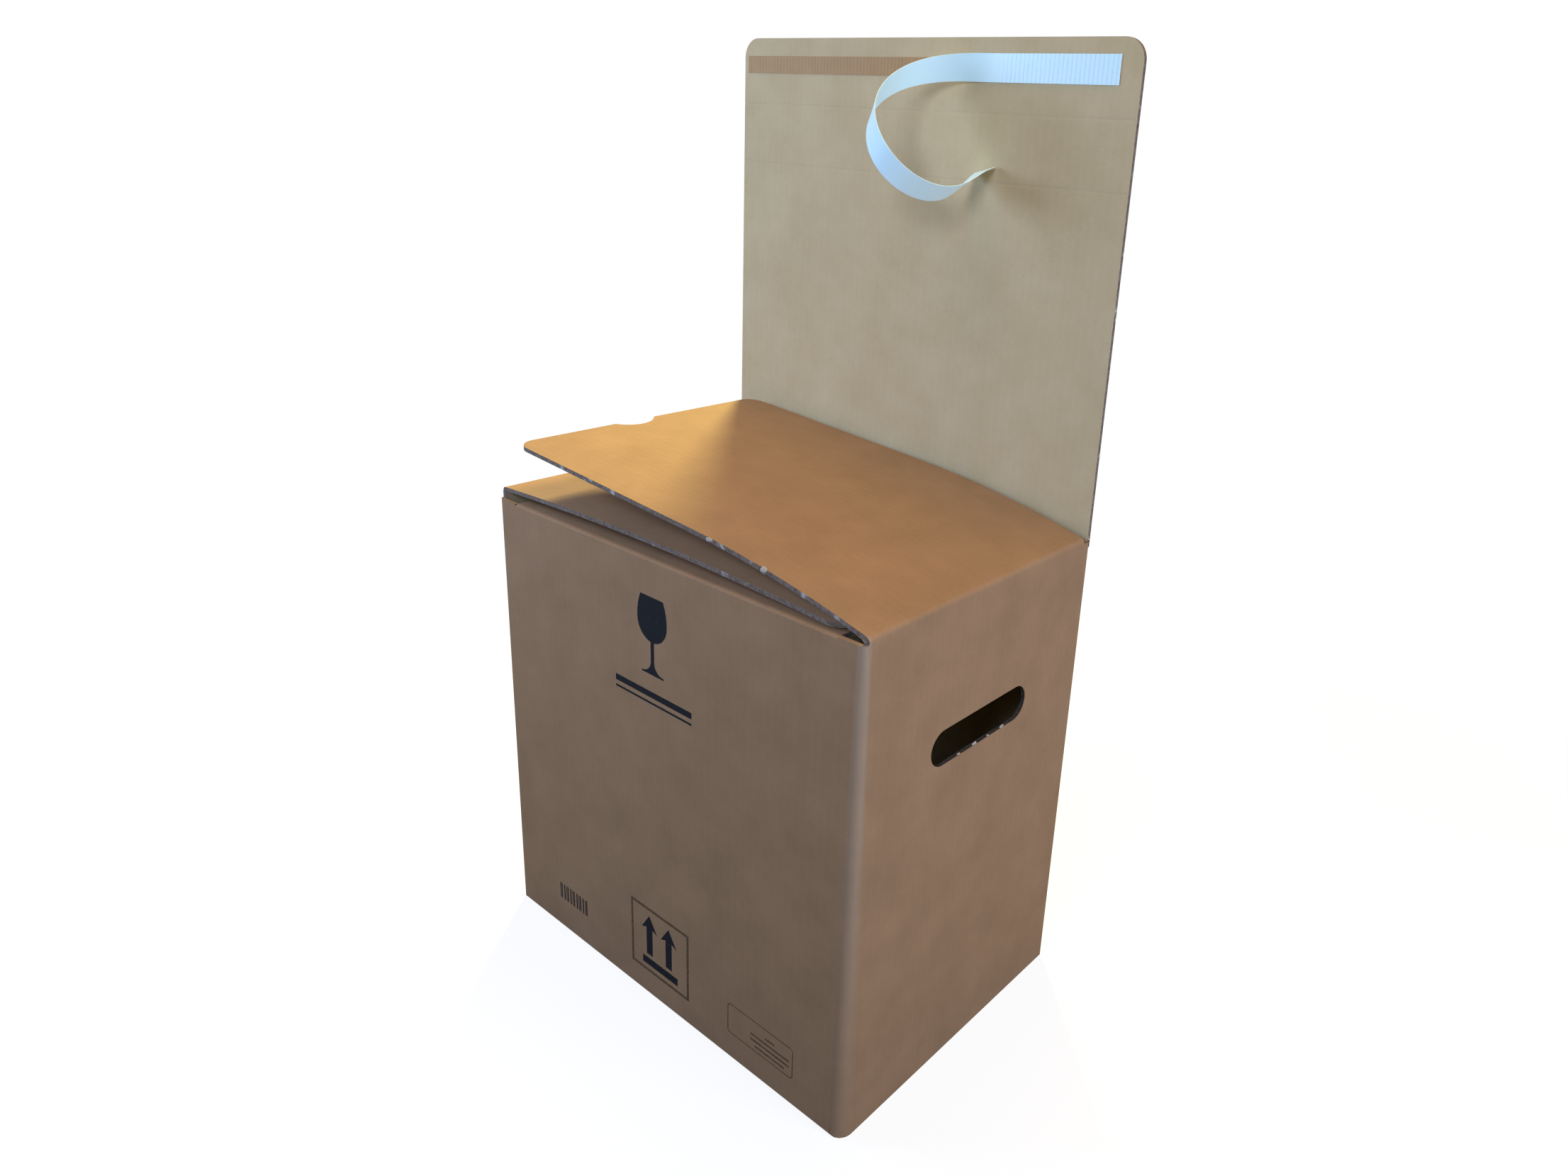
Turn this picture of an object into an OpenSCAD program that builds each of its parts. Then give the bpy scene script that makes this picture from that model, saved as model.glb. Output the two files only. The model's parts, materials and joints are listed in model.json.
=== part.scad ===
// Self-seal shipping carton, folded from one blank of single-wall corrugated board.
// The origin is the middle of the underside, +Z is up and the printed front faces -Y.

/* [Carton] */
// Outer width, left to right
box_w = 350; // [300:1:420]
// Outer depth, front to back
box_d = 238; // [200:1:300]
// Height of the side folds above the underside
box_h = 352; // [300:1:420]
// Thickness of the board
board = 3; // [2.4:0.1:4]

/* [Folds] */
// Inside radius of the vertical folds
fold_r = 1; // [0.5:0.5:4]
// Inside radius of the worn front right fold at its top
worn_top_r = 1; // [0.5:0.5:6]
// Inside radius of the worn front right fold at the underside
worn_low_r = 5; // [1:0.5:8]
// How much rounder the outside of that fold is rubbed at the underside
worn_rub = 3; // [0:0.5:5]
// Outside radius of the folds along the underside
base_fold_r = 2.5; // [1:0.5:5]
// Play left in a crease that turns
crease_gap = 0.3; // [0.2:0.05:0.6]
// Height of the bead that the front fold pushes up on the inner side
crease_bead = 0.6; // [0.4:0.1:1]

/* [Front flap] */
// How far the front fold lies below the side folds at its left end
front_drop_left = 8; // [5:0.5:14]
// How far the front fold lies below the side folds at its right end
front_drop_right = 4; // [4:0.5:10]
// Length of the front flap that is tucked in first
front_flap_len = 100; // [60:1:150]
// Distance from each end of the front fold to the flap
front_flap_inset = 20; // [8:1:40]
// Angle by which the front flap dips into the carton
front_flap_dip = 3; // [2:0.5:12]

/* [Hand holes] */
// Length of each hand hole
hand_len = 103; // [80:1:130]
// Height of each hand hole
hand_h = 25; // [20:1:35]
// Distance from the side fold down to the middle of the hole
hand_drop = 99; // [60:1:140]

/* [Side flaps] */
// Distance from a side flap's free edge to the opposite side
flap_short = 20; // [14:1:40]
// Distance from the front wall's inner face to a side flap's front edge
flap_front_gap = 0.5; // [0.3:0.1:6]
// Distance from the back to a side flap's back edge
flap_back_gap = 9; // [8:0.5:16]
// Radius of a side flap's free corners
flap_corner_r = 13; // [6:1:25]
// Rise of the left flap's middle above its ends
left_bow = 5; // [2:0.5:8]
// Angle of the raised right flap at its crease
lift_angle = 14.3; // [13.5:0.1:20]
// Angle of the raised right flap along its free stretch
end_angle = 4; // [3.5:0.1:6]
// Length of the right flap's bent stretch
bend_len = 150; // [100:1:180]
// Width of the thumb notch in the right flap
notch_w = 36; // [24:1:50]
// Depth of the thumb notch
notch_depth = 9.5; // [5:0.5:14]
// Distance from the flap's middle to the notch, towards the front
notch_shift = 10; // [0:1:40]

/* [Closure flap] */
// Length by which the closure flap is longer than the carton is deep
closure_tuck = 82; // [60:1:110]
// Distance from each side of the carton to the closure flap
closure_inset = 1; // [0.5:0.5:4]
// Radius of the closure flap's free corners
closure_corner_r = 14; // [6:1:25]
// Distance from the free edge to the far cross crease
far_crease = 48; // [40:1:60]
// Distance from the free edge to the near cross crease
near_crease = 92; // [70:1:120]
// Width of a cross crease
crease_w = 2.6; // [1.5:0.1:4]
// Depth of a cross crease
crease_depth = 0.6; // [0.3:0.1:0.9]

/* [Seal] */
// Width of the adhesive strip
glue_w = 12.5; // [8:0.5:16]
// Thickness of the adhesive strip
glue_t = 0.4; // [0.2:0.1:0.8]
// Distance from the closure flap's free edge to the middle of the strip
seal_drop = 19; // [14:0.5:24]
// Distance from the left side to the strip's left end
glue_left_gap = 5; // [3:1:20]
// Distance from the right side to the right end of the strip and its liner
seal_right_gap = 16; // [5:1:30]
// Width of the release liner
liner_w = 18; // [14:0.5:22]
// Thickness of the release liner
liner_t = 0.3; // [0.2:0.1:0.5]
// Length of liner that still sticks to the strip
stuck_len = 94; // [40:1:140]
// Length of liner that has peeled away and curled
curl_len = 236; // [200:1:280]

/* [Board edges] */
// Distance from one flute to the next
flute_pitch = 6.5; // [5:0.1:8]
// Thickness of the board's facing sheets and of its fluted sheet
sheet = 0.45; // [0.3:0.05:0.6]
// Depth to which the open flute ends are cut
flute_depth = 8; // [4:1:15]

/* [Underside] */
// Length of the inner bottom flaps from the left and right sides
bottom_inner_len = 110; // [80:1:130]
// Width of the seam between the outer bottom flaps
bottom_seam = 1; // [0.6:0.1:2]

/* [Hidden] */
$fn = 48;
over = 1;
kraft = "#a58a66";
kraft_inside = "#b39b78";

// Straight steps in a fold's outline and in a bowed flap's outline
fold_steps = 10;
bow_steps = 36;

// Shares of the flute pitch that a flute gap is wide at its own sheet and at the other sheet
gap_wide_share = 0.62;
gap_slim_share = 0.18;

// Walls and plan of the flaps
wall_top = box_h - board - crease_gap;
flap_y0 = board + flap_front_gap - box_d / 2;
flap_y1 = box_d / 2 - flap_back_gap;
flap_mid_y = (flap_y0 + flap_y1) / 2;

// Front fold, which slopes a little
front_slope = atan2(front_drop_left - front_drop_right, box_w);
front_fold_len = box_w / cos(front_slope);

// Left flap: place of its free edge, and the bow that carries it there
left_root_x = board - box_w / 2;
left_end_x = box_w / 2 - flap_short;
left_half = (left_end_x - left_root_x) / 2;
left_bow_r = (left_half * left_half + left_bow * left_bow) / (2 * left_bow);
left_bow_angle = asin(left_half / left_bow_r);
left_bow_mid = [(left_root_x + left_end_x) / 2, box_h - board + left_bow - left_bow_r];

// Right flap: radius of its bend, and the place of its free edge
bend_r = bend_len / ((lift_angle - end_angle) * PI / 180);
bend_mid = [box_w / 2 - bend_r * sin(lift_angle), box_h - bend_r * cos(lift_angle)];
bend_end = bend_mid + bend_r * [sin(end_angle), cos(end_angle)];
free_edge_x = flap_short - box_w / 2;
free_len = (bend_end[0] - free_edge_x) / cos(end_angle);
free_edge_z = bend_end[1] + free_len * sin(end_angle);

// Closure flap and its seal
closure_len = box_d + closure_tuck;
closure_w = box_w - 2 * closure_inset;
closure_face_y = box_d / 2 - board;
seal_z = box_h + closure_len - seal_drop;
seal_right_x = box_w / 2 - seal_right_gap;

// Bend and twist of the peeled liner, in degrees that its whole length would turn, against the share of it
liner_bend = [[0, 340], [0.17, 230], [0.33, 270], [0.5, 300], [0.67, 380], [0.83, 340], [1, -230]];
liner_twist = [
    [0, 0], [0.06, -310], [0.12, -130], [0.2, -140], [0.33, -90],
    [0.5, -120], [0.67, 20], [0.83, 60], [1, 170]
];
liner_steps = 60;

// Points along an arc, from one angle to another
function arc(mid, r, from, to, steps) = [
    for (i = [0 : steps]) let (a = from + (to - from) * i / steps) mid + r * [cos(a), sin(a)]
];

// Section helpers: one draws a front view and runs it back, the other draws a side view and runs it right
module run_back(y0, y1) {
    translate([0, y1, 0]) rotate([90, 0, 0]) linear_extrude(y1 - y0) children();
}

module run_right(x0, x1) {
    translate([x0, 0, 0]) rotate([90, 0, 90]) linear_extrude(x1 - x0) children();
}

// What a rounded corner at the origin takes away from the quadrant below and left of it
module corner_waste(r) {
    difference() {
        translate([-r, -r]) square(r + over);
        translate([-r, -r]) circle(r);
    }
}

// Plan of the folded walls with four rounded folds, of which the front right one has its own radius
function wall_plan(w, d, r, worn_r) = concat(
    arc([w / 2 - worn_r, worn_r - d / 2], worn_r, -90, 0, fold_steps),
    arc([w / 2 - r, d / 2 - r], r, 0, 90, fold_steps),
    arc([r - w / 2, d / 2 - r], r, 90, 180, fold_steps),
    arc([r - w / 2, r - d / 2], r, 180, 270, fold_steps)
);

// Upright block of the carton's plan, inset on all sides, with a worn fold that widens downwards
module wall_block(inset, worn_top, worn_low, z0, z1) {
    r = fold_r + board - inset;
    points = [
        for (z = [z0, z1]) let (worn_r = worn_low + (worn_top - worn_low) * z / box_h)
            for (p = wall_plan(box_w - 2 * inset, box_d - 2 * inset, r, worn_r)) [p[0], p[1], z]
    ];
    n = len(points) / 2;
    polyhedron(points, concat(
        [[for (i = [0 : n - 1]) i], [for (i = [0 : n - 1]) 2 * n - 1 - i]],
        [for (i = [0 : n - 1]) let (j = (i + 1) % n) [i, n + i, n + j, j]]
    ));
}

// Side view of the carton, whose front and back walls turn under at the underside
module turned_under() {
    difference() {
        translate([-box_d / 2 - over, 0]) square([box_d + 2 * over, box_h]);
        translate([box_d / 2, 0]) mirror([0, 1]) corner_waste(base_fold_r);
        translate([-box_d / 2, 0]) rotate(180) corner_waste(base_fold_r);
        translate([-box_d / 2 - 2 * over, -over]) square([2 * over, box_h + 2 * over]);
        translate([box_d / 2, -over]) square([2 * over, box_h + 2 * over]);
    }
}

module walls() {
    intersection() {
        difference() {
            wall_block(0, worn_top_r + board, worn_low_r + board + worn_rub, 0, wall_top);
            wall_block(board, worn_top_r, worn_low_r, -over, wall_top + over);
        }
        run_right(-box_w / 2, box_w / 2) turned_under();
    }
}

// Two outer flaps that meet at a seam, with two inner flaps glued over them
module underside() {
    x_in = box_w / 2 - board / 2;
    y_in = box_d / 2 - board / 2;
    for (s = [0, 1]) mirror([0, s, 0])
        translate([-x_in, bottom_seam / 2, 0]) cube([2 * x_in, y_in - bottom_seam / 2, board]);
    for (s = [0, 1]) mirror([s, 0, 0])
        translate([box_w / 2 - bottom_inner_len, -y_in, board])
            cube([bottom_inner_len - board / 2, 2 * y_in, board]);
}

// Plan of a side flap from its free edge at x = 0, with rounded free corners
module flap_plan(length) {
    difference() {
        translate([0, flap_y0]) square([length, flap_y1 - flap_y0]);
        translate([0, flap_y1]) mirror([1, 0]) corner_waste(flap_corner_r);
        translate([0, flap_y0]) rotate(180) corner_waste(flap_corner_r);
    }
}

// Front view of the left wall's top, its fold and the bowed flap that lies over the carton
module left_flap_section() {
    root = [left_root_x, box_h - board];
    past_end = 90 - left_bow_angle - over;
    polygon(concat(
        [[-box_w / 2, wall_top - over]],
        arc(root, board, 180, 90 + left_bow_angle, fold_steps),
        arc(left_bow_mid, left_bow_r + board, 90 + left_bow_angle, past_end, bow_steps),
        arc(left_bow_mid, left_bow_r, past_end, 90 + left_bow_angle, bow_steps),
        [[left_root_x, wall_top - over]]
    ));
}

module left_flap() {
    intersection() {
        run_back(flap_y0 - over, flap_y1 + over) left_flap_section();
        translate([left_end_x, 0, 0]) mirror([1, 0, 0]) linear_extrude(2 * box_h) flap_plan(box_w);
    }
}

// Frame of the front fold: x along the fold from its left end, y into the carton, z up
module at_front_fold() {
    translate([-box_w / 2, -box_d / 2, box_h - front_drop_left]) rotate([0, -front_slope, 0]) children();
}

// Side view of the front flap: a key inside the front wall's sheet, the fold, and the flap that dips inside
module front_flap() {
    root = [board, -board];
    key = board / 4;
    along = [cos(front_flap_dip), -sin(front_flap_dip)];
    out = [sin(front_flap_dip), cos(front_flap_dip)];
    at_front_fold() run_right(front_flap_inset, front_fold_len - front_flap_inset) polygon(concat(
        arc(root, board, 180, 90 - front_flap_dip, fold_steps),
        [root + front_flap_len * along + board * out, root + front_flap_len * along],
        [root + crease_bead * along, root - [key, crease_bead]],
        [[key, -board - crease_bead], [key, -board]]
    ));
}

// What the front wall loses above its fold: down to the fold line, and to the root of the flap's bend
module front_wall_waste() {
    at_front_fold() {
        translate([-over, -over, 0])
            cube([front_fold_len + 2 * over, over + board + flap_front_gap / 2, 5 * board]);
        translate([front_flap_inset, -over, -board])
            cube([front_fold_len - 2 * front_flap_inset, board + 2 * over, 5 * board]);
    }
}

module hand_holes() {
    run_right(-box_w, box_w) translate([0, box_h - hand_drop]) {
        square([hand_len - hand_h, hand_h], center = true);
        for (s = [-1, 1]) translate([s * (hand_len - hand_h) / 2, 0]) circle(d = hand_h);
    }
}

module carton_body() {
    color(kraft) {
        difference() {
            walls();
            front_wall_waste();
            hand_holes();
        }
        underside();
        left_flap();
        front_flap();
    }
}

// Section of one flute gap: wide against its own sheet, slim against the other
module flute_gap() {
    wide = flute_pitch * gap_wide_share / 2;
    slim = flute_pitch * gap_slim_share / 2;
    far = board - 2 * sheet;
    polygon([[-wide, sheet], [wide, sheet], [slim, far], [-slim, far]]);
}

// A row of flute gaps in a strip of board, on one side and the other of the fluted sheet in turn
module flute_gaps(run) {
    count = floor(run / flute_pitch - 0.5);
    first = -(count - 0.5) * flute_pitch / 2;
    for (i = [0 : count - 1]) translate([first + i * flute_pitch, 0]) {
        flute_gap();
        translate([flute_pitch / 2, board]) mirror([0, 1]) flute_gap();
    }
}

// The raised right flap, seen from the front, turns about the top edge of the right side on a rounded heel
module side_flap_section() {
    heel_angle = 90 - lift_angle + asin(board / bend_r);
    heel_mid = bend_mid + (bend_r - board) * [cos(heel_angle), sin(heel_angle)];
    past_edge = bend_end + (free_len + over) * [-cos(end_angle), sin(end_angle)];
    polygon(concat(
        arc(heel_mid, board, heel_angle - 90, heel_angle, fold_steps),
        arc(bend_mid, bend_r, heel_angle, 90 - end_angle, bow_steps),
        [past_edge, past_edge - board * [sin(end_angle), cos(end_angle)]],
        arc(bend_mid, bend_r - board, 90 - end_angle, heel_angle, bow_steps)
    ));
}

// Frame of the free edge: x back along the flap from the edge, z out of its upper face
module at_free_edge() {
    translate([free_edge_x, 0, free_edge_z]) rotate([0, end_angle, 0]) children();
}

module side_flap() {
    notch_r = (notch_w * notch_w / 4 + notch_depth * notch_depth) / (2 * notch_depth);
    notch_y = flap_mid_y - notch_shift;
    color(kraft) difference() {
        intersection() {
            run_back(flap_y0 - over, flap_y1 + over) side_flap_section();
            at_free_edge() translate([0, 0, -box_h / 2]) linear_extrude(box_h) difference() {
                flap_plan(2 * box_w);
                translate([notch_depth - notch_r, notch_y]) circle(notch_r, $fn = 96);
            }
        }
        at_free_edge() translate([-over, flap_mid_y, -board]) rotate([90, 0, 90])
            linear_extrude(over + notch_depth + flute_depth)
                flute_gaps(flap_y1 - flap_y0 - 2 * flap_corner_r);
    }
}

// The closure flap stands straight up from the back wall, with a rounded heel in its crease
module closure_flap() {
    color(kraft_inside) difference() {
        union() {
            run_back(closure_face_y, box_d / 2) difference() {
                translate([-closure_w / 2, box_h]) square([closure_w, closure_len]);
                for (s = [0, 1]) mirror([s, 0])
                    translate([closure_w / 2, box_h + closure_len]) corner_waste(closure_corner_r);
            }
            run_right(-closure_w / 2, closure_w / 2) translate([box_d / 2, box_h]) intersection() {
                circle(board);
                translate([-board, -board]) square(board);
            }
        }
        cross_crease(far_crease);
        cross_crease(near_crease);
        translate([0, box_d / 2, box_h + closure_len - flute_depth]) mirror([0, 1, 0])
            linear_extrude(flute_depth + over) flute_gaps(closure_w - 2 * closure_corner_r);
    }
}

// A pressed line across the closure flap's inner face
module cross_crease(from_edge) {
    press_r = (crease_w * crease_w / 4 + crease_depth * crease_depth) / (2 * crease_depth);
    translate([0, closure_face_y - press_r + crease_depth, box_h + closure_len - from_edge])
        rotate([0, 90, 0]) cylinder(r = press_r, h = box_w, center = true);
}

module adhesive_strip() {
    left_x = glue_left_gap - box_w / 2;
    color("#9c835f")
        translate([left_x, closure_face_y - glue_t, seal_z - glue_w / 2])
            cube([seal_right_x - left_x, glue_t, glue_w]);
}

// A vector turned about a unit axis
function turned(v, axis, angle) =
    v * cos(angle) + cross(axis, v) * sin(angle) + axis * (axis * v) * (1 - cos(angle));

// Stations along the peeled liner: place, heading and width direction, each turned on from the last
function curl_stations(i, place, heading, across) =
    let (
        step = curl_len / liner_steps,
        at = (i + 0.5) / liner_steps,
        turn = (lookup(at, liner_bend) * across + lookup(at, liner_twist) * heading) / liner_steps,
        angle = norm(turn),
        axis = turn / angle,
        next = turned(heading, axis, angle)
    )
    i == liner_steps ? [[place, heading, across]] : concat(
        [[place, heading, across]],
        curl_stations(i + 1, place + (heading + next) / 2 * step, next, turned(across, axis, angle))
    );

module release_liner() {
    left = [-1, 0, 0];
    up = [0, 0, 1];
    liner_y = closure_face_y - glue_t - liner_t / 2;
    stuck = [[[seal_right_x, liner_y, seal_z], left, up]];
    stations = concat(stuck, curl_stations(0, [seal_right_x - stuck_len, liner_y, seal_z], left, up));
    last = len(stations) - 1;
    corners = [
        for (s = stations) let (wide = s[2] * liner_w / 2, thick = cross(s[2], s[1]) * liner_t / 2)
            each [s[0] + wide + thick, s[0] + wide - thick, s[0] - wide - thick, s[0] - wide + thick]
    ];
    // Both broad faces are split along the same diagonal, so that the twisted strip keeps its thickness
    sides = [
        for (i = [0 : last - 1], k = [0 : 3]) let (a = 4 * i + k, b = 4 * i + (k + 1) % 4)
            each k == 3 ? [[a, a + 4, b], [b, a + 4, b + 4]] : [[a, b + 4, b], [a, a + 4, b + 4]]
    ];
    ends = [[0, 1, 2, 3], [4 * last + 3, 4 * last + 2, 4 * last + 1, 4 * last]];
    color("#e4eef5") polyhedron(corners, concat(sides, ends), convexity = 6);
}

carton_body();
side_flap();
closure_flap();
adhesive_strip();
release_liner();
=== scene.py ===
"""Looks of a self-seal corrugated carton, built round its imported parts."""

import json
import math

import bmesh
import bpy
from bpy.props import FloatProperty, FloatVectorProperty, PointerProperty
from mathutils import Matrix, Vector, noise


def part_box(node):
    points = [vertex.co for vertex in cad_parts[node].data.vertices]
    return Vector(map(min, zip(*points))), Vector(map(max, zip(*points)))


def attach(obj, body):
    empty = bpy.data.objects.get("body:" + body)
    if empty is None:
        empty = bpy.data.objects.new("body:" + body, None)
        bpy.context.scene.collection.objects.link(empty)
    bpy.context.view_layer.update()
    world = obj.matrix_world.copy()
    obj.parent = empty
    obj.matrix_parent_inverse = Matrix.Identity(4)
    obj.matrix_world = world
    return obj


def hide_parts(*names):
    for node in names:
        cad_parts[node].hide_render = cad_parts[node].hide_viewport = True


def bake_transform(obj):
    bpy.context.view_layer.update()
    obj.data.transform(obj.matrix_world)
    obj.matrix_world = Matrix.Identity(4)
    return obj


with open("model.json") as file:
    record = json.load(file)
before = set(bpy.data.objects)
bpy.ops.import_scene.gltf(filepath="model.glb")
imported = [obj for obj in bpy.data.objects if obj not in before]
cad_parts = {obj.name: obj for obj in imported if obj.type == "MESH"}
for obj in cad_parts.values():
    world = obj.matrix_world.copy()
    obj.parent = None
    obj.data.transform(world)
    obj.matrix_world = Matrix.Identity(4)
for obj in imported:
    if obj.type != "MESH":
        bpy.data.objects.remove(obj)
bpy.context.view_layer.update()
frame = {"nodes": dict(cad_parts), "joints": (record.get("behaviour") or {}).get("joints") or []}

bl_info = {
    "name": "Self-seal carton",
    "version": (1, 0, 0),
    "blender": (4, 5, 0),
    "location": "View3D > Sidebar > Carton",
    "description": "Dresses a folded corrugated carton: board, creases, print, glue strip and liner",
    "category": "Object",
}

MM = 0.001

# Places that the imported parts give
BODY_LOW, BODY_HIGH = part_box("carton_body")
CLOSURE_LOW, CLOSURE_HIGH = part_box("closure_flap")
FLAP_LOW, FLAP_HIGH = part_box("side_flap")
GLUE_LOW, GLUE_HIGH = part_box("adhesive_strip")
HINGES = {joint["name"]: Vector(joint["pos_m"]) for joint in frame["joints"]}
SIDE_HINGE = HINGES["side_flap_crease"]
CLOSURE_HINGE = HINGES["closure_flap_crease"]
LEFT, RIGHT = BODY_LOW.x, BODY_HIGH.x
FRONT, BACK = BODY_LOW.y, BODY_HIGH.y
BOARD = CLOSURE_HIGH.y - CLOSURE_LOW.y

# Heights of the closure flap's two cross creases
CROSS_CREASES = (580 * MM, 624 * MM)

# Sockets of the Mix node when it mixes colours
MIX_A, MIX_B, MIX_OUT = 6, 7, 2


def linear(code):
    """Linear RGB of an sRGB hex colour."""
    parts = [int(code[i:i + 2], 16) / 255 for i in (1, 3, 5)]
    return tuple(p / 12.92 if p <= 0.04045 else ((p + 0.055) / 1.055) ** 2.4 for p in parts)


class CartonSizes(bpy.types.PropertyGroup):
    """Sizes of the board's surface, the print, the creases and the seal."""

    flute_pitch: FloatProperty(
        name="Flute pitch", description="Distance from one flute to the next",
        default=6.5 * MM, unit="LENGTH", precision=5)
    flute_rise: FloatProperty(
        name="Flute rise", description="Height by which a flute shows through the paper",
        default=0.015 * MM, unit="LENGTH", precision=6)
    ink_lift: FloatProperty(
        name="Ink lift", description="Height of the print above the board",
        default=0.04 * MM, unit="LENGTH", precision=6)
    skin: FloatProperty(
        name="Crease paper", description="Thickness of the paper that runs over a turning crease",
        default=0.12 * MM, unit="LENGTH", precision=6)
    skin_reach: FloatProperty(
        name="Crease reach", description="Length of that paper on each side of the crease",
        default=8 * MM, unit="LENGTH", precision=5)
    worn_top: FloatProperty(
        name="Worn fold, top", description="Outside radius of the worn front right fold at its top",
        default=4 * MM, unit="LENGTH", precision=5)
    worn_low: FloatProperty(
        name="Worn fold, low", description="Outside radius of the worn front right fold at the underside",
        default=11 * MM, unit="LENGTH", precision=5)
    dent: FloatProperty(
        name="Dents", description="Depth of the small dents along the worn fold",
        default=0.5 * MM, unit="LENGTH", precision=6)
    fold_wave: FloatProperty(
        name="Fold wave", description="Depth of the flutes' waves along the crushed front fold",
        default=0.6 * MM, unit="LENGTH", precision=6)
    crease_depth: FloatProperty(
        name="Cross crease depth", description="Depth of the closure flap's unused creases as they show",
        default=0.12 * MM, unit="LENGTH", precision=6)
    lift_angle: FloatProperty(
        name="Flap lift", description="Angle of the raised side flap at its crease",
        default=math.radians(14.3), subtype="ANGLE")
    liner_width: FloatProperty(
        name="Liner width", description="Width of the release liner",
        default=18 * MM, unit="LENGTH", precision=5)
    liner_thick: FloatProperty(
        name="Liner thickness", description="Thickness of the release liner",
        default=0.3 * MM, unit="LENGTH", precision=6)
    liner_stuck: FloatProperty(
        name="Liner stuck", description="Length of liner that still sticks to the glue strip",
        default=94 * MM, unit="LENGTH", precision=5)
    liner_curl: FloatProperty(
        name="Liner curl", description="Length of liner that has peeled away",
        default=236 * MM, unit="LENGTH", precision=5)


def colour(name, description, code):
    """A colour property whose default is an sRGB hex colour."""
    return FloatVectorProperty(
        name=name, description=description, subtype="COLOR", size=3, min=0, max=1, default=linear(code))


class CartonColours(bpy.types.PropertyGroup):
    """Colours of the board, the ink and the seal."""

    kraft: colour("Kraft", "Outer paper of the board", "#9b7c5d")
    kraft_deep: colour("Kraft, deep", "Darker blotches of the outer paper", "#886c4f")
    inside: colour("Inside", "Inner paper of the board", "#c9b892")
    inside_deep: colour("Inside, deep", "Darker blotches of the inner paper", "#b9a77f")
    # The cut edge's fibres and gaps are kept a little darker than bare fibres: partly painted shade of
    # edges that lie in shadow
    edge: colour("Cut edge", "Fibres of a cut board edge", "#7c7168")
    edge_torn: colour("Cut edge, torn", "Bright torn bits of a cut board edge", "#c4c3bd")
    edge_deep: colour("Cut edge, deep", "Gaps in a cut board edge", "#5f5248")
    # The hand hole's edge colours are painted shade: a darker copy of the cut edge for the hole's shadowed
    # rim
    hole_edge_shaded: colour("Hole edge, painted shade", "Fibres of a hand hole's edge in painted shade", "#4a443f")
    hole_edge_shaded_deep: colour("Hole edge, painted shade, deep", "Gaps in a hand hole's edge in painted shade", "#332c27")
    # Pale tone of the worn fold: partly rubbed paper, partly painted highlight of the fold's turned face
    worn_and_highlight: colour("Worn fold", "Rubbed paper and painted highlight along the worn fold", "#9f9483")
    ink: colour("Ink", "Dark print", "#0b0f16")
    faint_ink: colour("Faint ink", "Thin lines of the small label", "#493a28")
    glue: colour("Glue", "Clear hot melt over kraft", "#a8844c")
    glue_deep: colour("Glue, deep", "Hot melt between the flutes", "#977440")
    liner: colour("Liner", "Siliconised release paper", "#d2f4fa")
    liner_deep: colour("Liner, deep", "Flute marks on the stuck liner", "#b8dde9")


def add(tree, kind, links=None, **settings):
    """Adds a node with its settings; links gives each input a value or another node's output."""
    node = tree.nodes.new(kind)
    for name, value in settings.items():
        setattr(node, name, value)
    for socket, value in (links or {}).items():
        if isinstance(value, bpy.types.NodeSocket):
            tree.links.new(value, node.inputs[socket])
        else:
            node.inputs[socket].default_value = value
    return node


def new_material(name, **uniform):
    """A material with its shader; uniform values sit on the shader's own sockets."""
    material = bpy.data.materials.new(name)
    material.use_nodes = True
    shader = material.node_tree.nodes["Principled BSDF"]
    for socket, value in uniform.items():
        shader.inputs[socket.replace("_", " ")].default_value = value
    return material, material.node_tree, shader


def rgba(rgb):
    """A colour with full alpha."""
    return (*rgb, 1.0)


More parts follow.
